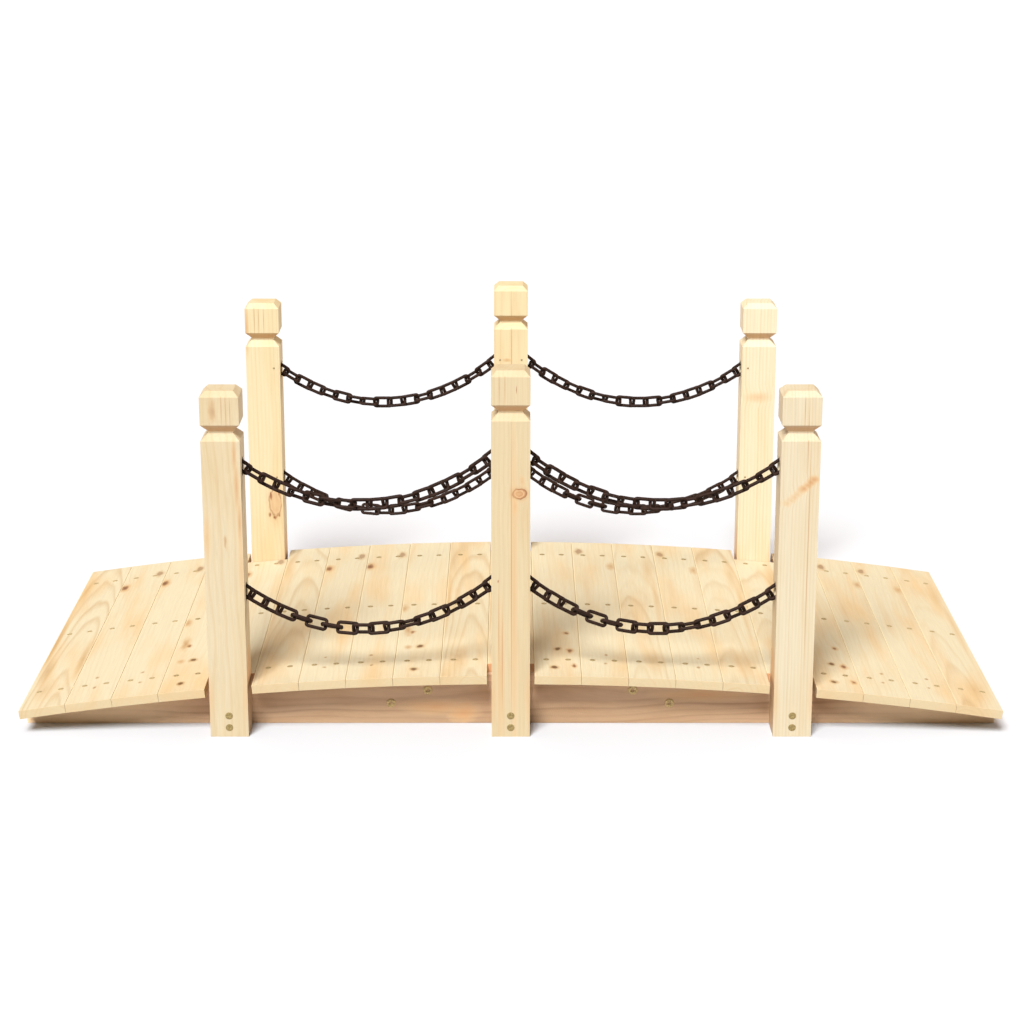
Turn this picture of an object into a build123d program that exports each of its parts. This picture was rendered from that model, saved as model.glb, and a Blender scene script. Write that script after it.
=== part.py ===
"""Wooden garden bridge: an arched deck on three beams, six capped posts and hanging chains as railings.

Millimetres. X runs along the deck, Y from the near side to the far side, Z up from the ground.
"""

import math
import os

from build123d import *

os.makedirs("parts", exist_ok=True)

# The bridge as a whole
deck_length = 1420.0
frame_width = 670.0
deck_height = 92.0
arch_radius = 4700.0
seat_clearance = 0.1

# Beams, sawn to the arch on top and flat on the ground
beam_thickness = 40.0
beam_end_inset = 2.0

# Deck boards
board_count = 21
board_thickness = 13.0
board_gap = 0.15
board_end_inset = 3.0
board_edge_chamfer = 0.6
boards_per_bay = 6

# Posts, each with a square cap over a grooved neck
post_width = 55.0
mid_post_height = 540.0
end_post_height = 511.0
cap_chamfer = 8.0
cap_height = 48.0
groove_depth = 10.0
neck_height = 3.0
groove_taper = 45.0

# Chains: where the last links hang, inside the posts' side faces and above the ground
anchor_inset = 11.0
end_anchor_height = {"upper": 405.0, "lower": 220.0}
mid_anchor_height = {"upper": 419.0, "lower": 233.0}
chain_sag = 68.0
link_pitch = 22.6
link_wire = 5.2
link_width = 20.4
link_corner = 3.4
link_clearance = 0.6
fit_tolerance = 0.0001
chain_hole_diameter = 22.0
chain_hole_end = 1.5
chain_hole_facets = 16

# How far each link of a chain is rolled about the chain's line, left to right, in degrees
link_rolls = {
    "upper": (23, -74, 18, -51, 39, -46, 46, -67, 14, -47, 18, -74, 23, -46, 23, -74, 27, -34),
    "lower": (12, -49, 12, -49, 62, -38, 64, -34, 30, -40, 30, -86, 30, -48, 34, -48, 28, -33),
}

# Nails that hold the last links, driven from the posts' inner faces
pin_diameter = 3.0
pin_length = 45.0
pin_clearance = 0.05
pin_facets = 8

# Cross braces between the beams: centres along the deck
brace_places = {"left": -148.0, "right": 205.0}
brace_width = 75.0
brace_height = 40.0
brace_underside = 18.0

# Worked out from the sizes above
beam_crown = deck_height - board_thickness - seat_clearance
underside_radius = arch_radius + seat_clearance
arch_centre_height = beam_crown - arch_radius
board_step = 2 * math.asin(deck_length / 2 / (underside_radius + board_thickness)) / board_count
board_width = 2 * underside_radius * math.tan(board_step / 2) - board_gap
middle_board = (board_count + 1) // 2
post_row = frame_width / 2 - post_width / 2
beam_row = frame_width / 2 - post_width - seat_clearance - beam_thickness / 2
post_spacing = underside_radius * math.sin(boards_per_bay * board_step)
post_places = {"left": -post_spacing, "middle": 0, "right": post_spacing}
chain_span = post_spacing - post_width + 2 * anchor_inset
chain_length = chain_span + 8 * chain_sag**2 / (3 * chain_span)
link_count = 2 * math.ceil(chain_length / link_pitch / 2)
sides = {"near": -1, "far": 1}
bays = {"left": 1, "right": -1}


def beam(row):
    """Beam on edge: flat underneath, its top an arc of the deck's arch."""
    half_length = deck_length / 2 - beam_end_inset
    end_height = arch_centre_height + math.sqrt(arch_radius**2 - half_length**2)
    with BuildPart() as piece:
        with BuildSketch(Plane(origin=(0, row, 0), x_dir=(1, 0, 0), z_dir=(0, -1, 0))):
            with BuildLine():
                Polyline((-half_length, end_height), (-half_length, 0), (half_length, 0), (half_length, end_height))
                ThreePointArc((half_length, end_height), (0, beam_crown), (-half_length, end_height))
            make_face()
        extrude(amount=beam_thickness / 2, both=True)
    return piece


def deck_board(number):
    """Flat board laid on the arch; the boards in line with posts stop short between them."""
    angle = (number - middle_board) * board_step
    board_length = frame_width - 2 * board_end_inset
    if abs(number - middle_board) in (0, boards_per_bay):
        board_length = frame_width - 2 * post_width - 2 * seat_clearance
    seat = Plane(
        origin=(underside_radius * math.sin(angle), 0, arch_centre_height + underside_radius * math.cos(angle)),
        x_dir=(math.cos(angle), 0, -math.sin(angle)),
        z_dir=(0, -1, 0),
    )
    with BuildPart() as piece:
        with BuildSketch(seat) as section:
            Rectangle(board_width, board_thickness, align=(Align.CENTER, Align.MIN))
            chamfer(section.vertices().group_by(Axis.Y)[-1], board_edge_chamfer)
        extrude(amount=board_length / 2, both=True)
    return piece


def hanging_points(level):
    """Where the links of a left-bay chain meet: equal steps along the catenary between its two anchors."""
    start_x = post_places["left"] + post_width / 2 - anchor_inset
    start_z = end_anchor_height[level]
    rise = mid_anchor_height[level] - start_z
    length = link_count * link_pitch
    level_length = math.sqrt(length**2 - rise**2)
    # The catenary's parameter, found by halving: a smaller one makes the same span hang deeper.
    low, high = chain_span / link_count, chain_span * link_count
    while high - low > fit_tolerance:
        parameter = (low + high) / 2
        if 2 * parameter * math.sinh(chain_span / 2 / parameter) > level_length:
            low = parameter
        else:
            high = parameter
    lowest_x = start_x + chain_span / 2 - parameter * math.atanh(rise / length)
    start_arc = parameter * math.sinh((start_x - lowest_x) / parameter)
    lowest_z = start_z - parameter * math.cosh((start_x - lowest_x) / parameter)
    points = []
    for joint in range(link_count + 1):
        arc = start_arc + joint * link_pitch
        reach = parameter * math.asinh(arc / parameter)
        points.append(Vector(lowest_x + reach, 0, lowest_z + parameter * math.cosh(reach / parameter)))
    return points


def chain_planes(level, bay, row):
    """One plane for each link, left to right: X along the chain, rolled as listed from the chain's nearer end."""
    points = [Vector(bays[bay] * point.X, row, point.Z) for point in hanging_points(level)]
    points.sort(key=lambda point: point.X)
    planes = []
    for index, (start, end) in enumerate(zip(points, points[1:])):
        along = (end - start).normalized()
        upward = Vector(-along.Z, 0, along.X)
        nearer_end = index if index < link_count / 2 else index - link_count
        roll = math.radians(link_rolls[level][nearer_end])
        facing = Vector(0, 1, 0) * math.cos(roll) + upward * math.sin(roll)
        planes.append(Plane(origin=(start + end) / 2, x_dir=along, z_dir=facing))
    return planes


def chain(level, bay, row):
    """Chain of closed links, each through the next, hanging between two posts."""
    with BuildPart() as piece:
        with BuildSketch(*chain_planes(level, bay, row)) as ring:
            Rectangle(link_pitch + link_clearance + 2 * link_wire, link_width)
            chamfer(ring.vertices(), link_corner)
            offset(amount=-link_wire, kind=Kind.INTERSECTION, mode=Mode.SUBTRACT)
        extrude(amount=link_wire / 2, both=True)
    return piece


def anchors(post):
    """Each chain end in a post: the end of the hanging links, and the way they leave it."""
    found = []
    for level in end_anchor_height:
        points = hanging_points(level)
        first = (points[0], (points[1] - points[0]).normalized())
        last = (points[-1], (points[-2] - points[-1]).normalized())
        for bay in bays:
            if post == "middle":
                place, way = last
            elif post == bay:
                place, way = first
            else:
                continue
            found.append((Vector(bays[bay] * place.X, 0, place.Z), Vector(bays[bay] * way.X, 0, way.Z)))
    return found


def pin_place(place, way, side):
    """Point where a nail enters the post's inner face, just inside the end of the last link."""
    centre = place + way * (pin_diameter / 2)
    return Vector(centre.X, sides[side] * (frame_width / 2 - post_width), centre.Z)


def post_piece(post, side):
    """Square post from the ground up: shaft, shoulder, neck, underside of the cap, and the cap."""
    height = mid_post_height if post == "middle" else end_post_height
    shaft = height - cap_height - 2 * groove_depth - neck_height
    upper_stages = (
        (groove_depth, groove_taper),
        (neck_height, 0),
        (groove_depth, -groove_taper),
        (cap_height, 0),
    )
    row = sides[side] * post_row
    with BuildPart() as piece:
        with BuildSketch(Plane(origin=(post_places[post], row, 0))):
            Rectangle(post_width, post_width)
        extrude(amount=shaft)
        for rise, taper in upper_stages:
            extrude(piece.faces().sort_by(Axis.Z)[-1], amount=rise, taper=taper)
        chamfer(piece.faces().sort_by(Axis.Z)[-1].edges(), cap_chamfer)
        for place, way in anchors(post):
            bottom = place + Vector(0, row, 0) - way * (link_wire + chain_hole_end)
            with BuildSketch(Plane(origin=bottom, z_dir=way)):
                RegularPolygon(chain_hole_diameter / 2, chain_hole_facets, major_radius=False)
            extrude(amount=post_width - anchor_inset, mode=Mode.SUBTRACT)
            with BuildSketch(Plane(origin=pin_place(place, way, side), z_dir=(0, sides[side], 0))):
                RegularPolygon(pin_diameter / 2 + pin_clearance, pin_facets, major_radius=False)
            extrude(amount=pin_length + pin_clearance, mode=Mode.SUBTRACT)
    return piece


def chain_pins(side):
    """The nails of one railing, flush with the posts' inner faces and through the last links."""
    with BuildPart() as piece:
        for post in post_places:
            for place, way in anchors(post):
                with BuildSketch(Plane(origin=pin_place(place, way, side), z_dir=(0, sides[side], 0))):
                    RegularPolygon(pin_diameter / 2, pin_facets, major_radius=False)
        extrude(amount=pin_length)
    return piece


def cross_brace(place):
    """Brace under the deck, in two lengths that butt against the middle beam."""
    bay_width = beam_row - beam_thickness
    with BuildPart() as piece:
        with BuildSketch(Plane.XY.offset(brace_underside)):
            with Locations((place, -beam_row / 2), (place, beam_row / 2)):
                Rectangle(brace_width, bay_width - 2 * seat_clearance)
        extrude(amount=brace_height)
    return piece


def save(piece, name):
    """Label one sub-part and write its STEP file."""
    piece.part.label = name
    export_step(piece.part, f"parts/{name}.step")


for name, row in {"near_beam": -beam_row, "middle_beam": 0, "far_beam": beam_row}.items():
    save(beam(row), name)

for brace_name, place in brace_places.items():
    save(cross_brace(place), f"cross_brace_{brace_name}")

for number in range(1, board_count + 1):
    save(deck_board(number), f"deck_board_{number:02d}")

for side in sides:
    for post in post_places:
        save(post_piece(post, side), f"{side}_{post}_post")
    for bay in bays:
        for level in end_anchor_height:
            save(chain(level, bay, sides[side] * post_row), f"{side}_{bay}_{level}_chain")
    save(chain_pins(side), f"{side}_chain_pins")
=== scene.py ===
import math

import bpy
import numpy as np
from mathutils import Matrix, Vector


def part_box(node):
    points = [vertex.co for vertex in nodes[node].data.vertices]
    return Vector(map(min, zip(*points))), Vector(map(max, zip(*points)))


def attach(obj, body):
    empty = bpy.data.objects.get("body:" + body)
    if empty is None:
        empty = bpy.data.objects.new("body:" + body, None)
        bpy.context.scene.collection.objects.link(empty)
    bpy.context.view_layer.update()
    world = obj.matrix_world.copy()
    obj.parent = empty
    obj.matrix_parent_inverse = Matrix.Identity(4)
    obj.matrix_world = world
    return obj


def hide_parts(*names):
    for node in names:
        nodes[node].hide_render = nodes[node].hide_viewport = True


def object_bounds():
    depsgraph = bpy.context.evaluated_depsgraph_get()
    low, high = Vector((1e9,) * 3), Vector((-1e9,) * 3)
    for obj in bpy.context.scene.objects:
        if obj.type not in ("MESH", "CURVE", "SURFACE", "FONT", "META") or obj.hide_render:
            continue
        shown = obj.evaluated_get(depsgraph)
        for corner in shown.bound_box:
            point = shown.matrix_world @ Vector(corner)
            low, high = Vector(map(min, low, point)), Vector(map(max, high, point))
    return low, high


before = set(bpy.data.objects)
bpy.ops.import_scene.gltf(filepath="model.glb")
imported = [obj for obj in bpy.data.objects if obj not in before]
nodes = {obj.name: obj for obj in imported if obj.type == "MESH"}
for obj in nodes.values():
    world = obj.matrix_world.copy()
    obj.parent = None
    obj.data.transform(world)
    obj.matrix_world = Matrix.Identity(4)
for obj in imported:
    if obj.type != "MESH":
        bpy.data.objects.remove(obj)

cad_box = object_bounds()

# Beams. Three spruce planks stand on edge under the deck. Their tops are bandsawn to the arch and their undersides
# lie flat on the ground; the wide faces keep the saw's fine ridges, so they look browner than the planed boards.


def linear(code):
    """Linear colour of an sRGB hex value: a straight line below 0.04045, the power 2.4 above it."""
    share = np.array([int(code[start:start + 2], 16) for start in (1, 3, 5)]) / 255
    return (*np.where(share <= 0.04045, share / 12.92, ((share + 0.055) / 1.055) ** 2.4), 1.0)


def add(tree, kind, inputs, out=0, stops=(), **settings):
    """Add one shader node with its settings, input values or links, and a ramp's stops; return one output."""
    node = tree.nodes.new("ShaderNode" + kind)
    for setting, value in settings.items():
        setattr(node, setting, value)
    for socket, value in inputs.items():
        if isinstance(value, bpy.types.NodeSocket):
            tree.links.new(value, node.inputs[socket])
        else:
            node.inputs[socket].default_value = value
    for index, (place, colour, alpha) in enumerate(stops):
        step = node.color_ramp.elements[index] if index < 2 else node.color_ramp.elements.new(place)
        step.position = place
        step.color = (*linear(colour)[:3], alpha)
    return node.outputs[out]


def spruce(name, node, turn, pith, tilt, ring, seed, early, late, warm, marks=(), figure=0.85, sway=0.012, saw=0.0):
    """Spruce as it comes from the log, on a piece's own axes: X across it, Y along the grain and Z through it.

    Growth rings are the distance from a pith line, off to one side and tilted, divided by the ring width; each ring
    runs from pale early wood to a thin brown line of late wood, as strong as figure. Fibres are noise drawn out along
    the grain. A mark is a list of spots (centre and half-sizes in mm), the colours from a spot's middle to its edge,
    and how far it pushes the rings aside. The eye gets a matt cream to tan face with fine lines along the grain.
    """
    low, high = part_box(node)
    material = bpy.data.materials.new(name)
    material.use_nodes = True
    tree = material.node_tree
    tree.nodes.clear()
    here = add(tree, "TexCoord", {}, "Object")
    piece = add(
        tree, "Mapping", {"Vector": here, "Location": (low + high) / 2, "Rotation": turn}, vector_type="TEXTURE"
    )

    # The stem wanders by part of the sway, over 60 mm across the grain and 400 mm along it.
    away = (seed * 3.1, seed * 5.7, seed * 7.3)
    stem_wave = np.array((0.06, 0.4, 0.06))
    slow = add(tree, "VectorMath", {0: piece, 1: 1 / stem_wave, 2: away}, operation="MULTIPLY_ADD")
    wander = add(tree, "TexNoise", {"Vector": slow, "Scale": 1.0, "Detail": 2.0}, "Color")
    wander = add(tree, "VectorMath", {0: wander, 1: (0.5, 0.5, 0.5)}, operation="SUBTRACT")
    bent = add(tree, "VectorMath", {0: wander, 1: (sway, sway, sway), 2: piece}, operation="MULTIPLY_ADD")
    log = add(tree, "Mapping", {"Vector": bent, "Location": pith, "Rotation": tilt}, vector_type="TEXTURE")
    level = add(tree, "VectorMath", {0: log, 1: (1, 0, 1)}, operation="MULTIPLY")
    reach = add(tree, "VectorMath", {0: level}, "Value", operation="LENGTH")

    # Each spot's distance is counted in its own half-sizes. A knot's edge is ragged by about a millimetre, and a
    # streak's, drawn out along the grain, is smooth.
    edge_wave = np.array((0.007, 0.015, 0.007))
    edge = add(tree, "VectorMath", {0: piece, 1: 1 / edge_wave, 2: away}, operation="MULTIPLY_ADD")
    edge = add(tree, "TexNoise", {"Vector": edge, "Scale": 1.0, "Detail": 2.0})
    edge = add(tree, "MapRange", {0: edge, 1: 0.3, 2: 0.7, 3: -1.3, 4: 1.3})
    paints = []
    for spots, stops, push in marks:
        nearest = 1e3
        for x, y, z, wide, long in spots:
            size = np.array((wide, long, 2.5 * wide)) / 1000
            shift = -np.array((x, y, z)) / 1000 / size
            spot = add(tree, "VectorMath", {0: piece, 1: 1 / size, 2: shift}, operation="MULTIPLY_ADD")
            spot = add(tree, "VectorMath", {0: spot}, "Value", operation="LENGTH")
            if long < 6 * wide:
                spot = add(tree, "Math", {0: edge, 1: 1 / wide, 2: spot}, operation="MULTIPLY_ADD")
            nearest = add(tree, "Math", {0: spot, 1: nearest}, operation="MINIMUM")
        paints.append((nearest, stops))
        if push:
            swell = add(
                tree, "MapRange", {0: nearest, 1: 0.0, 2: 2.0, 3: push, 4: 0.0}, interpolation_type="SMOOTHSTEP"
            )
            reach = add(tree, "Math", {0: reach, 1: swell}, operation="ADD")

    # Rings differ in strength from year to year.
    years = add(tree, "Math", {0: reach, 1: ring}, operation="DIVIDE")
    season = add(tree, "Math", {0: years}, operation="FRACT")
    year = add(tree, "Math", {0: years}, operation="FLOOR")
    year = add(tree, "Math", {0: year, 1: seed}, operation="ADD")
    strength = add(tree, "TexWhiteNoise", {"W": year}, "Value", noise_dimensions="1D")
    strength = add(tree, "MapRange", {0: strength, 3: 0.15 * figure, 4: figure})
    lines = add(
        tree, "ValToRGB", {0: season},
        stops=[
            (0.0, "#202020", 1), (0.45, "#505050", 1), (0.8, "#F0F0F0", 1), (0.92, "#A0A0A0", 1), (1.0, "#202020", 1),
        ],
    )
    rings = add(tree, "Math", {0: lines, 1: strength}, operation="MULTIPLY")

    # Fibres are drawn 1.2 mm wide and 70 mm long, coarser than real ones, so that they show. Broad warm bands of
    # denser wood lie 40 mm wide and 250 mm long.
    fibre_size = np.array((0.0012, 0.07, 0.0012))
    band_size = np.array((0.04, 0.25, 0.04))
    fine = add(tree, "VectorMath", {0: bent, 1: 1 / fibre_size}, operation="MULTIPLY")
    fibre = add(tree, "TexNoise", {"Vector": fine, "Scale": 1.0, "Detail": 3.0, "Roughness": 0.6})
    broad = add(tree, "VectorMath", {0: bent, 1: 1 / band_size, 2: away}, operation="MULTIPLY_ADD")
    broad = add(tree, "TexNoise", {"Vector": broad, "Scale": 1.0, "Detail": 3.0})
    broad = add(tree, "MapRange", {0: broad, 1: 0.45, 2: 0.75, 3: 0.0, 4: 0.8})
    colour = add(tree, "Mix", {0: broad, 6: linear(early), 7: linear(warm)}, 2, data_type="RGBA")
    colour = add(tree, "Mix", {0: rings, 6: colour, 7: linear(late)}, 2, data_type="RGBA")
    shade = add(tree, "MapRange", {0: fibre, 1: 0.25, 2: 0.75, 3: 0.92, 4: 1.04})
    colour = add(tree, "VectorMath", {0: colour, 1: shade}, operation="MULTIPLY")
    for nearest, stops in paints:
        paint = add(tree, "ValToRGB", {0: nearest}, "Color", stops)
        cover = paint.node.outputs["Alpha"]
        colour = add(tree, "Mix", {0: cover, 6: colour, 7: paint}, 2, data_type="RGBA")

    # Planing leaves the late wood a little proud; a bandsaw leaves ridges across the grain, about 2.5 mm apart.
    relief = add(tree, "Math", {0: fibre, 1: 0.7, 2: rings}, operation="MULTIPLY_ADD")
    if saw:
        saw_pitch = 0.0025
        cut = add(tree, "VectorMath", {0: bent, 1: (0, 2 * math.pi / saw_pitch, 0)}, "Value", operation="DOT_PRODUCT")
        cut = add(tree, "Math", {0: cut}, operation="SINE")
        relief = add(tree, "Math", {0: cut, 1: saw, 2: relief}, operation="MULTIPLY_ADD")
    bump = add(tree, "Bump", {"Strength": 0.3, "Distance": 0.0004, "Height": relief})
    gloss = add(tree, "MapRange", {0: rings, 3: 0.62, 4: 0.5})
    shader = add(
        tree, "BsdfPrincipled",
        {"Base Color": colour, "Roughness": gloss, "Specular IOR Level": 0.3, "Normal": bump},
    )
    tree.links.new(shader, tree.nodes.new("ShaderNodeOutputMaterial").inputs["Surface"])
    nodes[node].data.materials.clear()
    nodes[node].data.materials.append(material)


def ease_edges(node, width):
    """Sand a CAD piece's edges: join its loose triangles, round its corners, and let wide faces set the shading."""
    piece = nodes[node]
    joined = piece.modifiers.new("joined", "WELD")
    joined.merge_threshold = 1e-5
    rounded = piece.modifiers.new("rounded", "BEVEL")
    rounded.width = width
    rounded.segments = 2
    rounded.limit_method = "ANGLE"
    rounded.angle_limit = math.radians(30)
    shaded = piece.modifiers.new("shaded", "WEIGHTED_NORMAL")
    shaded.keep_sharp = False


along_x = (0, 0, -math.pi / 2)
sawn_arris = 0.0006
# Paints list the share of a spot's half-size, the colour and the cover there. Resin stains the near face orange,
# painted shade darkens the foot in the middle of a beam, and painted light makes its thin ends pale.
orange_stain = [(0.0, "#D99D63", 0.55), (0.5, "#E2B078", 0.35), (1.0, "#EFCB98", 0.0)]
painted_foot_shade = [(0.0, "#7E6244", 0.6), (0.5, "#8E7050", 0.35), (1.0, "#A08060", 0.0)]
painted_end_light = [(0.0, "#F4D2A6", 0.75), (0.6, "#EBC79C", 0.6), (1.0, "#DDB78C", 0.0)]
near_face, far_face = 20, -20
stains = [(near_face, -110, -14, 6, 60), (near_face, -70, -22, 9, 30), (near_face, 280, 4, 5, 90)]
# Painted shade: a dark band along the foot of each face.
foot = [(face, 0, -39, 15, 560) for face in (far_face, near_face)]
# Painted light: pale paint on both ends of each face.
tips = [(face, along, -20, 45, 190) for face in (far_face, near_face) for along in (-640, 640)]
for index, node in enumerate(("near_beam", "middle_beam", "far_beam")):
    spruce(
        f"bandsawn spruce, {node}", node, along_x, pith=(0.05, 0, -0.21 + 0.04 * index), tilt=(0.025, 0, 0.01),
        ring=0.012, seed=34 + index, early="#D4AE8A", late="#885C3C", warm="#B28458",
        marks=[(foot, painted_foot_shade, 0.0), (tips, painted_end_light, 0.0), (stains, orange_stain, 0.0)],
        figure=0.55, sway=0.06, saw=0.3,
    )
    ease_edges(node, sawn_arris)

# Cross braces. Short lengths of the same sawn plank lie between the beams under the deck and keep them upright.
# They butt against the beams' sides and are screwed through them.

along_y = (0, 0, 0)
for index, node in enumerate(("cross_brace_left", "cross_brace_right")):
    spruce(
        f"bandsawn spruce, {node}", node, along_y, pith=(0.01, 0, -0.06), tilt=(0.01, 0, 0.02),
        ring=0.005, seed=41 + index, early="#C3A47D", late="#A3794E", warm="#B38C61", saw=0.5,
    )
    ease_edges(node, sawn_arris)

# Brace screws. Countersunk yellow-plated screws go through the outer beams into the ends of the braces, two to an
# end, one high and one low. Each has a crossed recess.


def surface(name, grid, material, wrap_rows=False):
    """One mesh from copies of a grid of points, (copy, row, column, xyz): each column closes on itself, rows may.

    Faces join each row to the next. A row that shrinks to a point is merged there, and its faces are triangles, so
    that poles are closed.
    """
    copies, rows, columns, _ = grid.shape
    count = np.arange(copies * rows * columns).reshape(copies, rows, columns)
    below = np.roll(count, -1, axis=1)
    if not wrap_rows:
        count, below = count[:, :-1], below[:, :-1]
    quads = np.stack([count, below, np.roll(below, -1, axis=2), np.roll(count, -1, axis=2)], axis=-1).reshape(-1, 4)
    points = grid.reshape(-1, 3)
    merged, place = np.unique(points.round(7), axis=0, return_inverse=True)
    quads = place.reshape(-1)[quads]
    from_pole, to_pole = quads[:, 0] == quads[:, 3], quads[:, 1] == quads[:, 2]
    faces = quads[~from_pole & ~to_pole].tolist()
    faces += quads[from_pole][:, :3].tolist() + quads[to_pole][:, [0, 1, 3]].tolist()
    mesh = bpy.data.meshes.new(name)
    mesh.from_pydata(merged.tolist(), [], faces)
    mesh.shade_smooth()
    mesh.materials.append(material)
    piece = bpy.data.objects.new(name, mesh)
    bpy.context.scene.collection.objects.link(piece)
    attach(piece, "root")
    return piece


def screw_heads(places, outward, radius, proud, depth, recess):
    """Round heads with a crossed recess: rings about each head's axis, from the recess's middle out and round under.

    The recess's rim and floor are four-lobed, radius times a mean plus a share of cos 4 angle; the top falls from its
    middle to the rim as a flat dome, and the sides taper to a point inside the wood.
    """
    angle = np.linspace(0, 2 * math.pi, 16, endpoint=False)
    lobes = 0.34 + 0.2 * np.cos(4 * angle)
    ones = np.ones_like(angle)
    across = radius * np.stack([0 * ones, 0.6 * lobes, lobes, 0.9 * ones, ones, ones, 0 * ones])
    sunk = np.array([-1.0, -0.9, 0.0, 0.0, 0.0, 0.0, 0.0])[:, None] * recess * radius
    height = np.array([proud, proud, proud, 0.75 * proud, 0.2 * proud, -0.2 * depth, -depth])[:, None]
    height = height + sunk * ones
    outward = outward / np.linalg.norm(outward, axis=1, keepdims=True)
    first = np.cross(outward, np.where(np.abs(outward[:, 1:2]) > 0.9, (0.0, 0.0, 1.0), (0.0, 1.0, 0.0)))
    first /= np.linalg.norm(first, axis=1, keepdims=True)
    second = np.cross(outward, first)
    flat = (across * np.cos(angle))[None, ..., None] * first[:, None, None]
    flat = flat + (across * np.sin(angle))[None, ..., None] * second[:, None, None]
    return places[:, None, None] + flat + height[None, ..., None] * outward[:, None, None]


def plated_steel(name, base, dull, roughness):
    """Plated steel: a thin coloured metal skin with duller, darker grime in 1.5 mm patches.

    A film of grease takes off half its metallic look, so the eye gets the plating's tint with a soft glint.
    """
    material = bpy.data.materials.new(name)
    material.use_nodes = True
    tree = material.node_tree
    tree.nodes.clear()
    here = add(tree, "TexCoord", {}, "Object")
    patch = 0.0015
    grime = add(tree, "TexNoise", {"Vector": here, "Scale": 1 / patch, "Detail": 3.0})
    grime = add(tree, "MapRange", {0: grime, 1: 0.35, 2: 0.7})
    colour = add(tree, "Mix", {0: grime, 6: linear(base), 7: linear(dull)}, 2, data_type="RGBA")
    gloss = add(tree, "MapRange", {0: grime, 3: roughness, 4: roughness + 0.2})
    shader = add(tree, "BsdfPrincipled", {"Base Color": colour, "Metallic": 0.45, "Roughness": gloss})
    tree.links.new(shader, tree.nodes.new("ShaderNodeOutputMaterial").inputs["Surface"])
    return material


beam_face = -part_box("near_beam")[0].y
# Places along the deck and heights above the ground.
brace_screw_places = np.array([(-0.175, 0.031), (-0.121, 0.051), (0.178, 0.051), (0.232, 0.031)])
near_heads = np.insert(brace_screw_places, 1, -beam_face, axis=1)
heads = np.concatenate([near_heads, near_heads * (1, -1, 1)])
ways = np.repeat([(0.0, -1.0, 0.0), (0.0, 1.0, 0.0)], len(near_heads), axis=0)
surface(
    "brace_screws", screw_heads(heads, ways, radius=0.007, proud=0.0008, depth=0.004, recess=0.4),
    plated_steel("yellow zinc-plated steel", "#E0C488", "#8E6E3E", 0.3),
)

# Posts. Six square posts of planed spruce stand on the ground outside the beams. A V groove cut into each face
# leaves a chamfered cap on a narrow neck; blind holes in the sides take the chains' last links.

along_z = (math.pi / 2, 0, 0)
planed_arris = 0.0012
# A live knot shows its own rings inside a dark rim, and a loose one is paler, with a thin rim. Growth lines and
# streaks run up the face; the groove under the cap is tan, and tan painted shade covers the sides of the foot.
live_knot = [
    (0.0, "#B58A5E", 0.8), (0.22, "#A87648", 0.85), (0.32, "#C09870", 0.8), (0.43, "#A06C42", 0.9),
    (0.51, "#7A4A28", 0.9), (0.6, "#B68C5E", 0.4), (1.0, "#C7A67A", 0.0),
]
loose_knot = [
    (0.0, "#C49A70", 0.5), (0.3, "#B5865A", 0.55), (0.42, "#BE9064", 0.5), (0.5, "#8C5C36", 0.75),
    (0.58, "#BC9466", 0.3), (1.0, "#C7A67A", 0.0),
]
rim_spots = [(0.0, "#6B3B20", 0.85), (0.5, "#945E37", 0.6), (1.0, "#BF9468", 0.0)]
growth_line = [(0.0, "#946940", 0.6), (0.5, "#A67B4E", 0.45), (1.0, "#C09C6C", 0.0)]
tan_streak = [(0.0, "#AC7A4A", 0.65), (0.5, "#B98E5E", 0.45), (1.0, "#C7A678", 0.0)]
tan_flush = [(0.0, "#BC8E5C", 0.5), (0.5, "#C39C6E", 0.35), (1.0, "#CBAC80", 0.0)]
groove_tan_and_foot_shade = [(0.0, "#C38A54", 0.6), (0.7, "#C08C5A", 0.5), (1.0, "#C4A06E", 0.0)]
post_grain = {
    "near_left_post": dict(
        early="#BEAE90", late="#B29165", warm="#B9A17A", pith=(-0.11, 0, 0.05), tilt=(0.02, 0, 0.01), ring=0.0085,
        seed=3, figure=0.4, sway=0.05,
    ),
    "near_middle_post": dict(
        early="#BDAA88", late="#AD8D61", warm="#B69B74", pith=(0.16, 0, 0.04), tilt=(0.0, 0, 0.004), ring=0.0072,
        seed=7, figure=0.32,
    ),
    "near_right_post": dict(
        early="#C2B499", late="#B2966E", warm="#BCA683", pith=(0.20, 0, 0.02), tilt=(0.0, 0, 0.003), ring=0.0048,
        seed=11, figure=0.6, sway=0.006,
    ),
    "far_left_post": dict(
        early="#CBBB98", late="#BA986D", warm="#C5AC7E", pith=(-0.09, 0, 0.05), tilt=(0.01, 0, 0.008), ring=0.0064,
        seed=13, figure=0.45,
    ),
    "far_middle_post": dict(
        early="#CCBB95", late="#BD996D", warm="#C5AB7F", pith=(0.012, 0, 0.07), tilt=(0.01, 0, 0.01), ring=0.0064,
        seed=17, figure=0.6,
    ),
    "far_right_post": dict(
        early="#D1C2A5", late="#BEA176", warm="#C9B58A", pith=(0.18, 0, 0.03), tilt=(0.0, 0, 0.004), ring=0.0056,
        seed=19, figure=0.7, sway=0.006,
    ),
}
front = 27.5
diagonal = [(-17 + 4.6 * step, 95 + 4.3 * step, front, 9, 7.5) for step in range(9)]
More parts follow.
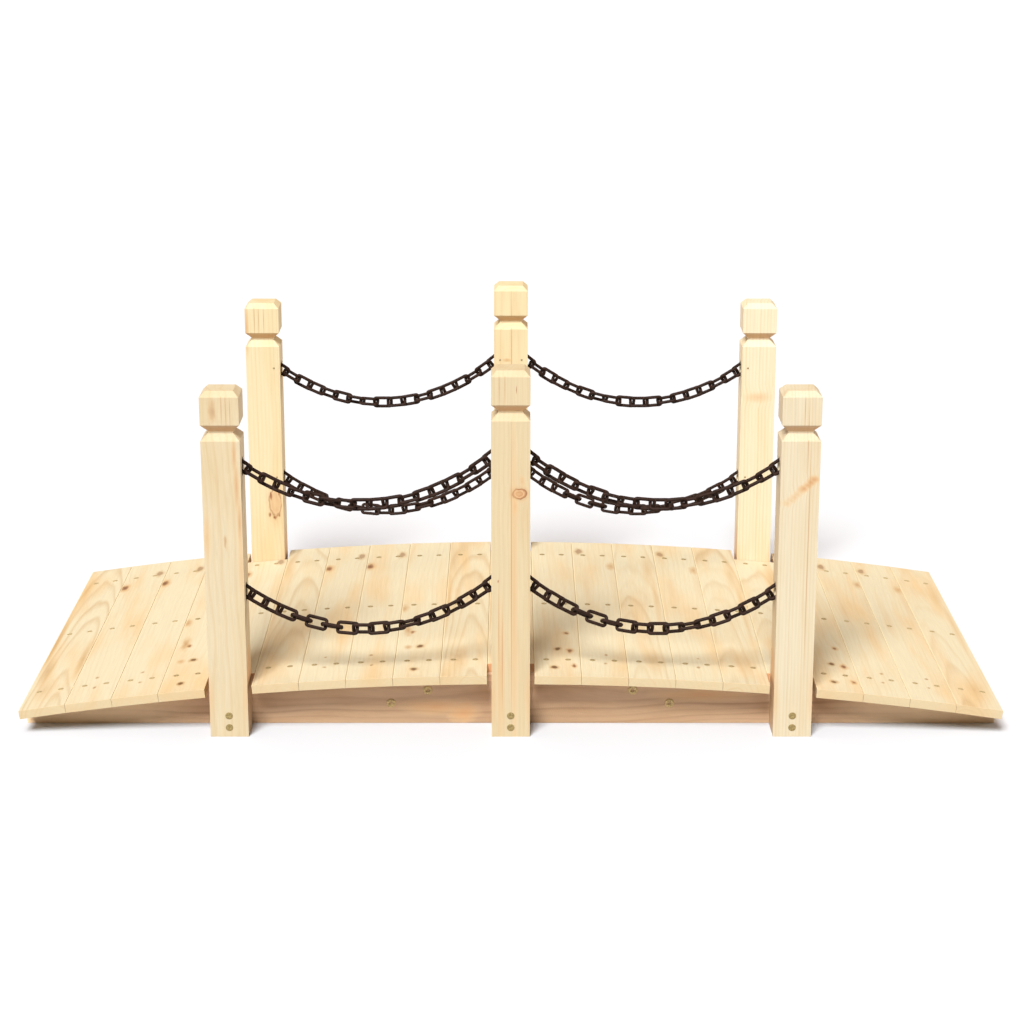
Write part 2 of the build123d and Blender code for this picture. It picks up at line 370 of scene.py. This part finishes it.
post_marks = {
    "near_left_post": [
        ([(19, 165, front, 4.5, 40), (21, 120, front, 5, 50), (24, 65, front, 4.5, 50)], tan_streak, 0.0),
        ([(-23, 45, front, 8, 50), (24, 0, front, 6, 60)], tan_flush, 0.0),
        ([(3, 37, front, 2.5, 9), (-9, 228, front, 7, 24)], growth_line, 0.004),
        ([(3, 232, front, 1.1, 40), (9, 230, front, 1.1, 36), (15, 226, front, 1.0, 34)], growth_line, 0.0),
    ],
    "near_middle_post": [
        ([(12, 94, front, 19, 15)], live_knot, 0.004),
        ([(6, 75, front, 7, 16), (16, 112, front, 5, 12)], tan_flush, 0.0),
        ([(5, -60, front, 7, 330), (-14, -170, front, 7, 130)], tan_flush, 0.0),
        ([(1, -20, front, 1.5, 330)], growth_line, 0.0),
        ([(-12, -150, front, 1.2, 110), (-17, -110, front, 1.0, 90)], growth_line, 0.0),
        ([(-8, 248, front, 1.0, 40), (-16, 246, front, 1.0, 38)], growth_line, 0.0),
        ([(8, 244, front, 0.9, 8), (-17.5, -34, front, 2, 3)], rim_spots, 0.0),
    ],
    "near_right_post": [
        (diagonal, tan_flush, 0.003),
        (diagonal[5:], tan_streak, 0.0),
        ([(4, 230, front, 1.0, 44), (10, 190, front, 1.0, 80), (14, 20, front, 1.3, 260)], growth_line, 0.0),
    ],
    "far_left_post": [
        ([(14, -80, front, 19, 50)], loose_knot, 0.006),
        ([(5, -100, front, 3, 6), (12, -105, front, 4, 4), (20, -102, front, 3, 4)], rim_spots, 0.0),
        ([(20, -66, front, 2, 5), (7, -66, front, 2, 9)], rim_spots, 0.0),
        ([(-25, 215, front, 5, 60)], tan_streak, 0.0),
        ([(-12, 230, front, 1.2, 40), (-5, 228, front, 1.2, 36), (3, 228, front, 1.2, 36)], growth_line, 0.0),
    ],
    "far_middle_post": [
        ([(1, 120, front, 1.6, 200)], growth_line, 0.0),
        ([(-6, 148, front, 10, 4)], tan_streak, 0.0),
    ],
    "far_right_post": [([(0, 100, front, 28, 12)], tan_flush, 0.004)],
}
groove_drop = 54
foot_rise = 60
for node, grain in post_grain.items():
    low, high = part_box(node)
    half_height = 1000 * (high.z - low.z) / 2
    groove = [(0, half_height - groove_drop, 0, 120, 6.5)]
    # Painted shade: tan paint on the sides of each post's foot.
    feet = [(side, foot_rise - half_height, 0, 14, 85) for side in (-front, front)]
    spruce(
        f"planed spruce, {node}", node, along_z,
        marks=[*post_marks[node], (groove, groove_tan_and_foot_shade, 0.0), (feet, groove_tan_and_foot_shade, 0.0)], **grain,
    )
    ease_edges(node, planed_arris)

# Post bolts. Two plated bolts through the foot of each post hold it to its beam. Their heads are let in flush with
# the outer face, one above the other.

post_middles = {node: (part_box(node)[0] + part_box(node)[1]) / 2 for node in post_grain}
bolt_heights = np.array([0.014, 0.032])
middles = np.array([(middle.x, math.copysign(cad_box[1].y, middle.y)) for middle in post_middles.values()])
bolts = np.concatenate([np.insert(middles, 2, height, axis=1) for height in bolt_heights])
ways = bolts * (0, 1, 0)
surface(
    "post_bolts", screw_heads(bolts, ways, radius=0.0055, proud=0.0003, depth=0.006, recess=0.05),
    plated_steel("olive zinc-plated steel", "#9E8A5A", "#826C40", 0.55),
)

# Deck boards. Twenty-one planed spruce boards lie across the beams, their long top edges lightly chamfered. They
# come from three logs, sawn so that some faces show straight grain and some arched figure, with small knots.

board_count = 21
middle_board = (board_count + 1) // 2
board_thickness = 0.013
deck_top_radius = 4.7131
board_middle_radius = deck_top_radius - board_thickness / 2
board_arris = 0.0004
pin_knot = [(0.0, "#563210", 0.92), (0.35, "#67421A", 0.85), (0.52, "#9A7038", 0.5), (1.0, "#B99C70", 0.0)]
brown_knot = [(0.0, "#603416", 0.9), (0.35, "#7E4E26", 0.78), (0.52, "#AE7E48", 0.55), (1.0, "#C29A66", 0.0)]
amber_band = [(0.0, "#AE8248", 0.45), (0.5, "#BB9562", 0.3), (1.0, "#C8AE84", 0.0)]
amber_edge = [(0.0, "#9E7238", 0.6), (0.5, "#B08852", 0.4), (1.0, "#C4A67A", 0.0)]
faint_band = [(0.0, "#B59268", 0.3), (0.5, "#B99A74", 0.2), (1.0, "#BFA985", 0.0)]
grey_knot = [(0.0, "#8A6540", 0.75), (0.4, "#7C5632", 0.65), (0.55, "#A88252", 0.45), (1.0, "#B79C72", 0.0)]
soft_knot = [(0.0, "#9C7140", 0.75), (0.4, "#AA8252", 0.55), (1.0, "#BB9F75", 0.0)]
chamfer_highlight = [(0.0, "#DCC8A0", 0.6), (0.8, "#DCC8A0", 0.5), (1.0, "#D0BC96", 0.0)]
end_grain = [(0.0, "#B79E76", 0.65), (0.7, "#B79E76", 0.5), (1.0, "#BCA688", 0.0)]
painted_butt_shade = [(0.0, "#C08455", 0.85), (0.7, "#BE8C60", 0.7), (1.0, "#BCA688", 0.0)]
top = 1000 * board_thickness / 2
half_width = 33.7
# Painted highlights make the chamfers paler than the face; end grain is darker, and painted shade browns it where it
# butts on a post.
chamfers = ([(-half_width, 0, top, 1.7, 900), (half_width, 0, top, 0.8, 900)], chamfer_highlight, 0.0)
left_cuts = {
    "edge": dict(
        pith=(0.09, 0, -0.06), tilt=(0.01, 0, 0.004), ring=0.006, figure=0.28,
        marks=[
            ([(-2, -230, top, 4, 6), (0, -273, top, 4, 6)], grey_knot, 0.0),
            ([(-28, 210, top, 12, 26)], brown_knot, 0.006),
            ([(23, 268, top, 10, 24)], grey_knot, 0.006),
        ],
    ),
    "cluster": dict(
        pith=(-0.07, 0, -0.08), tilt=(0.012, 0, -0.006), ring=0.006, figure=0.28,
        marks=[
            ([(1, -197, top, 9, 13), (-4.5, -297, top, 9, 12)], pin_knot, 0.004),
            ([(-13, -131, top, 6, 11)], brown_knot, 0.003),
            ([(-29, -18, top, 9, 26), (-20, -120, top, 9, 40), (-16.5, -200, top, 8, 14)], soft_knot, 0.004),
        ],
    ),
    "arched": dict(
        pith=(0.01, 0, -0.035), tilt=(-0.06, 0, 0.02), ring=0.0065, figure=0.75,
        marks=[([(-26, 220, top, 14, 120), (-8, -255, top, 22, 85), (-30, 40, top, 8, 220)], amber_band, 0.0)],
    ),
}
right_cuts = {
    "edge": dict(
        pith=(-0.09, 0, -0.06), tilt=(0.01, 0, -0.004), ring=0.006, figure=0.28,
        marks=[
            ([(5, -236, top, 4, 6), (2, -274, top, 4, 6)], grey_knot, 0.0),
            ([(28, 200, top, 10, 28)], soft_knot, 0.006),
            ([(30, 120, top, 9, 140), (-14, 60, top, 10, 160)], faint_band, 0.0),
            ([(-23, 280, top, 10, 24)], grey_knot, 0.006),
        ],
    ),
    "cluster": dict(
        pith=(0.07, 0, -0.08), tilt=(0.012, 0, 0.006), ring=0.006, figure=0.28,
        marks=[
            ([(1, -213, top, 8, 12), (-4.5, -293, top, 9.5, 12)], pin_knot, 0.004),
            ([(15, -141, top, 7, 11), (19, -221, top, 8, 16), (24.5, -287, top, 6, 14)], brown_knot, 0.003),
        ],
    ),
    "arched": dict(
        pith=(-0.01, 0, -0.035), tilt=(-0.06, 0, -0.02), ring=0.0065, figure=0.75,
        marks=[([(20, 190, top, 14, 120), (6, -255, top, 22, 85), (26, 40, top, 8, 220)], amber_band, 0.0)],
    ),
}
first_edge = ([(-31, -40, top, 8, 190), (-20, -170, top, 13, 90), (28, -130, top, 9, 120)], amber_edge, 0.0)
edge_boards = (2, 3, 5, 7, 8, 13, 15, 19, 20)
cluster_boards = (4, 9, 12, 18)
short_boards = (5, 11, 17)
for number in range(1, board_count + 1):
    node = f"deck_board_{number:02d}"
    cuts = left_cuts if number <= middle_board else right_cuts
    cut = "edge" if number in edge_boards else "cluster" if number in cluster_boards else "arched"
    low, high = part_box(node)
    middle = (low + high) / 2
    half_length = 1000 * (high.y - low.y) / 2
    # Painted shade: the short boards' ends, in shade against a post, are painted browner.
    end_paint = painted_butt_shade if number in short_boards else end_grain
    ends = ([(0, end, 0, 300, 1.2) for end in (-half_length, half_length)], end_paint, 0.0)
    lean = math.asin(middle.x / board_middle_radius)
    marks = cuts[cut]["marks"] + ([first_edge] if number == 1 else [])
    grain = {key: value for key, value in cuts[cut].items() if key != "marks"}
    spruce(
        f"planed spruce, {node}", node, (0, lean, 0), seed=50 + 1.7 * number,
        early="#C3B699", late="#B2966F", warm="#C5A476", marks=[*marks, chamfers, ends], sway=0.022, **grain,
    )
    ease_edges(node, board_arris)

# Deck screws. Two countersunk steel screws hold each board to each beam, driven flush with the top. Plating and the
# bit's marks leave them dull brown; in the three boards at each end a painted highlight makes them paler.

deck_half_length = 0.71
arch_centre_depth = 4.6211
end_boards = 3
board_step = 2 * math.asin(deck_half_length / deck_top_radius) / board_count
lean = (np.arange(1, board_count + 1) - middle_board) * board_step
screw_rows = np.array([-0.26, 0.0, 0.26])
screw_offsets = np.array([-0.016, 0.016])
lean, row, offset = (values.ravel() for values in np.meshgrid(lean, screw_rows, screw_offsets, indexing="ij"))
# Painted highlight: the screws in the end boards get a paler finish.
pale = np.abs(lean) > (middle_board - end_boards - 0.5) * board_step
upward = np.stack([np.sin(lean), 0 * lean, np.cos(lean)], axis=1)
sideways = np.stack([np.cos(lean), 0 * lean, -np.sin(lean)], axis=1)
screws = deck_top_radius * upward + offset[:, None] * sideways
screws += np.stack([0 * row, row, 0 * row - arch_centre_depth], axis=1)
for name, picked, finish in (
    ("deck_screws", ~pale, plated_steel("brown plated steel", "#AC9668", "#8A744C", 0.5)),
    ("end_deck_screws", pale, plated_steel("plated steel with painted highlight", "#C4AE84", "#A28A5C", 0.45)),
):
    heads = screw_heads(screws[picked], upward[picked], radius=0.0043, proud=0.0003, depth=0.003, recess=0.12)
    surface(name, heads, finish)

# Chains. Two chains hang in each bay of each railing, closed links of round iron wire with straight sides and
# rounded corners, blackened. Each hangs along a catenary, its links rolled to and fro as they settled.

link_pitch = 0.0226
link_wire = 0.0052
link_width = 0.0204
link_corner = 0.0033
# Links hang in touch; a hair's gap keeps their surfaces apart.
link_gap = 0.00015
link_length = link_pitch + link_gap + 2 * link_wire
links = 18
post_width = 0.055
anchor_inset = 0.011
end_heights = {"upper": 0.405, "lower": 0.220}
middle_heights = {"upper": 0.419, "lower": 0.233}
link_rolls = {
    "upper": (23, -74, 18, -51, 39, -46, 46, -67, 14, -47, 18, -74, 23, -46, 23, -74, 27, -34),
    "lower": (12, -49, 12, -49, 62, -38, 64, -34, 30, -40, 30, -86, 30, -48, 34, -48, 28, -33),
}


def hanging_points(start, end):
    """Catenary of the chain's own length from start to end, (x, z): equal steps along its arc.

    Its parameter a solves 2 a sinh(span / 2 a) = square root of length squared less rise squared, by halving.
    """
    span, rise = end[0] - start[0], end[1] - start[1]
    length = links * link_pitch
    low, high = span / links, span * links
    halvings = 60
    for _ in range(halvings):
        parameter = (low + high) / 2
        too_long = 2 * parameter * math.sinh(span / 2 / parameter) > math.sqrt(length**2 - rise**2)
        low, high = (parameter, high) if too_long else (low, parameter)
    lowest = start[0] + span / 2 - parameter * math.atanh(rise / length)
    first = parameter * math.sinh((start[0] - lowest) / parameter)
    reach = parameter * np.arcsinh((first + link_pitch * np.arange(links + 1)) / parameter)
    drop = parameter * (np.cosh(reach / parameter) - math.cosh((start[0] - lowest) / parameter))
    return np.stack([lowest + reach, start[1] + drop], axis=1)


def link_surfaces(points, row, rolls):
    """Links between neighbouring points, left to right: a wire circle carried round a rectangle with round corners.

    The path is a quarter circle about each corner of a smaller rectangle, joined by straight sides.
    """
    ends = np.stack([points[:, 0], np.full(len(points), row), points[:, 1]], axis=1)
    middle = (ends[1:] + ends[:-1]) / 2
    along = ends[1:] - ends[:-1]
    along /= np.linalg.norm(along, axis=1, keepdims=True)
    upward = np.stack([-along[:, 2], 0 * along[:, 1], along[:, 0]], axis=1)
    roll = np.radians(rolls)[:, None]
    facing = np.array((0.0, 1.0, 0.0)) * np.cos(roll) + upward * np.sin(roll)
    across = np.cross(facing, along)
    corner_steps, wire_sides = 5, 10
    quarter = np.linspace(0, math.pi / 2, corner_steps)
    turn = (quarter + np.arange(4)[:, None] * math.pi / 2).ravel()
    corner_x = np.repeat([1, -1, -1, 1], corner_steps) * ((link_length - link_wire) / 2 - link_corner)
    corner_y = np.repeat([1, 1, -1, -1], corner_steps) * ((link_width - link_wire) / 2 - link_corner)
    around = np.linspace(0, 2 * math.pi, wire_sides, endpoint=False)
    swing = link_corner + link_wire / 2 * np.cos(around)
    x = corner_x[:, None] + np.cos(turn)[:, None] * swing
    y = corner_y[:, None] + np.sin(turn)[:, None] * swing
    z = np.broadcast_to(link_wire / 2 * np.sin(around), x.shape)
    grid = x[None, ..., None] * along[:, None, None] + y[None, ..., None] * across[:, None, None]
    return middle[:, None, None] + grid + z[None, ..., None] * facing[:, None, None]


def blackened_iron():
    """Iron wire blackened in hot oil: a dark skin with a dull sheen, rubbed browner in 4 mm patches.

    The eye meets oxide and oil, not bare metal, so little of it is metallic; pits of 0.9 mm break the sheen.
    """
    material = bpy.data.materials.new("oil-blackened iron")
    material.use_nodes = True
    tree = material.node_tree
    tree.nodes.clear()
    here = add(tree, "TexCoord", {}, "Object")
    rub_size, pit_size = 0.004, 0.0009
    rubbed = add(tree, "TexNoise", {"Vector": here, "Scale": 1 / rub_size, "Detail": 4.0})
    rubbed = add(tree, "MapRange", {0: rubbed, 1: 0.4, 2: 0.7})
    colour = add(tree, "Mix", {0: rubbed, 6: linear("#21130C"), 7: linear("#332018")}, 2, data_type="RGBA")
    gloss = add(tree, "MapRange", {0: rubbed, 3: 0.5, 4: 0.7})
    pits = add(tree, "TexNoise", {"Vector": here, "Scale": 1 / pit_size, "Detail": 2.0})
    bump = add(tree, "Bump", {"Strength": 0.3, "Distance": 0.0002, "Height": pits})
    shader = add(
        tree, "BsdfPrincipled",
        {"Base Color": colour, "Metallic": 0.1, "Roughness": gloss, "Specular IOR Level": 0.12, "Normal": bump},
    )
    tree.links.new(shader, tree.nodes.new("ShaderNodeOutputMaterial").inputs["Surface"])
    return material


chain_iron = blackened_iron()
end_post_x = post_middles["near_left_post"].x
first_x = end_post_x + post_width / 2 - anchor_inset
last_x = -post_width / 2 + anchor_inset
for side in ("near", "far"):
    row = post_middles[f"{side}_left_post"].y
    for bay in ("left", "right"):
        for level in ("upper", "lower"):
            points = hanging_points((first_x, end_heights[level]), (last_x, middle_heights[level]))
            points = points if bay == "left" else points[::-1] * (-1, 1)
            node = f"{side}_{bay}_{level}_chain"
            grid = link_surfaces(points, row, link_rolls[level])
            piece = surface(node + "_links", grid, chain_iron, wrap_rows=True)
            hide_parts(node)

# Chain nails. A lost-head wire nail goes in from each post's inner face through the chain's last link, and is set
# flush, so that only a small dull end shows.

nail_radius = 0.0015
nail_length = 0.045
nail_point = 0.004
head_rise, head_bevel = 0.0002, 0.0003
nail_steel = plated_steel("dull wire nail steel", "#A8946F", "#8A7654", 0.5)
angle = np.linspace(0, 2 * math.pi, 12, endpoint=False)
for side, way in (("near", -1), ("far", 1)):
    starts = []
    for level in ("upper", "lower"):
        points = hanging_points((first_x, end_heights[level]), (last_x, middle_heights[level]))
        first = points[0] + nail_radius * (points[1] - points[0]) / link_pitch
        last = points[-1] + nail_radius * (points[-2] - points[-1]) / link_pitch
        starts += [first, last, first * (-1, 1), last * (-1, 1)]
    inner_face = abs(post_middles[f"{side}_left_post"].y) - post_width / 2
    starts = np.insert(np.array(starts), 1, way * inner_face, axis=1)
    # Rings about the nail's axis: the flat head, its bevelled rim, the straight shank and the point.
    radius = nail_radius * np.array([0, 0.8, 1, 1, 0])[:, None]
    reach = np.array([-head_rise, -head_rise, head_bevel, nail_length - nail_point, nail_length])
    rings = np.stack([-way * radius * np.sin(angle), 0 * radius * angle, radius * np.cos(angle)], axis=-1)
    rings = rings + reach[:, None, None] * np.array((0.0, way, 0.0))
    node = f"{side}_chain_pins"
    piece = surface(node + "_nails", starts[:, None, None] + rings[None], nail_steel)
    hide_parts(node)

# Studio. A pale matt floor runs out of view behind the bridge. A soft key lamp stands high in front and to the left, a
# wide warm one hangs overhead, two low ones shine from behind at the sides, and a dim warm sky fills the shadows.

floor_mesh = bpy.data.meshes.new("floor")
floor_half = 30.0
corners = [(x * floor_half, y * floor_half, 0.0) for x, y in ((-1, -1), (1, -1), (1, 1), (-1, 1))]
floor_mesh.from_pydata(corners, [], [(0, 1, 2, 3)])
floor = bpy.data.objects.new("floor", floor_mesh)
bpy.context.scene.collection.objects.link(floor)
floor_paint = bpy.data.materials.new("matt white floor paint")
floor_paint.use_nodes = True
floor_shader = floor_paint.node_tree.nodes["Principled BSDF"]
floor_shader.inputs["Base Color"].default_value = linear("#C5C5C8")
floor_shader.inputs["Roughness"].default_value = 0.9
floor_shader.inputs["Specular IOR Level"].default_value = 0.1
floor_mesh.materials.append(floor_paint)

# Each lamp's strength, colour, spread and turn, in degrees.
lamps = {
    "key_lamp": (6.1, (0.94, 0.98, 1.0), 24, (42, 0, -17)),
    "top_lamp": (1.15, (1.0, 0.825, 0.71), 100, (0, 0, 0)),
    "left_lamp": (1.2, (1.0, 0.86, 0.7), 20, (80, 0, -115)),
    "right_lamp": (1.6, (1.0, 0.86, 0.7), 20, (80, 0, 115)),
}
for name, (energy, colour, spread, turn) in lamps.items():
    lamp = bpy.data.objects.new(name, bpy.data.lights.new(name, "SUN"))
    lamp.data.energy = energy
    lamp.data.color = colour
    lamp.data.angle = math.radians(spread)
    lamp.rotation_euler = np.radians(turn)
    bpy.context.scene.collection.objects.link(lamp)
sky = bpy.data.worlds.new("dim_warm_sky")
bpy.context.scene.world = sky
sky.use_nodes = True
backdrop = sky.node_tree.nodes["Background"]
backdrop.inputs["Color"].default_value = (1.0, 0.75, 0.58, 1.0)
backdrop.inputs["Strength"].default_value = 0.05
camera_dip = 16.17
camera = bpy.data.objects.new("camera", bpy.data.cameras.new("camera"))
camera.data.lens = 87.37
camera.location = (0.0018, -3.6913, 1.3110)
camera.rotation_euler = (math.radians(90 - camera_dip), 0, 0)
bpy.context.scene.collection.objects.link(camera)
bpy.context.scene.camera = camera
bpy.context.scene.view_settings.view_transform = "Standard"
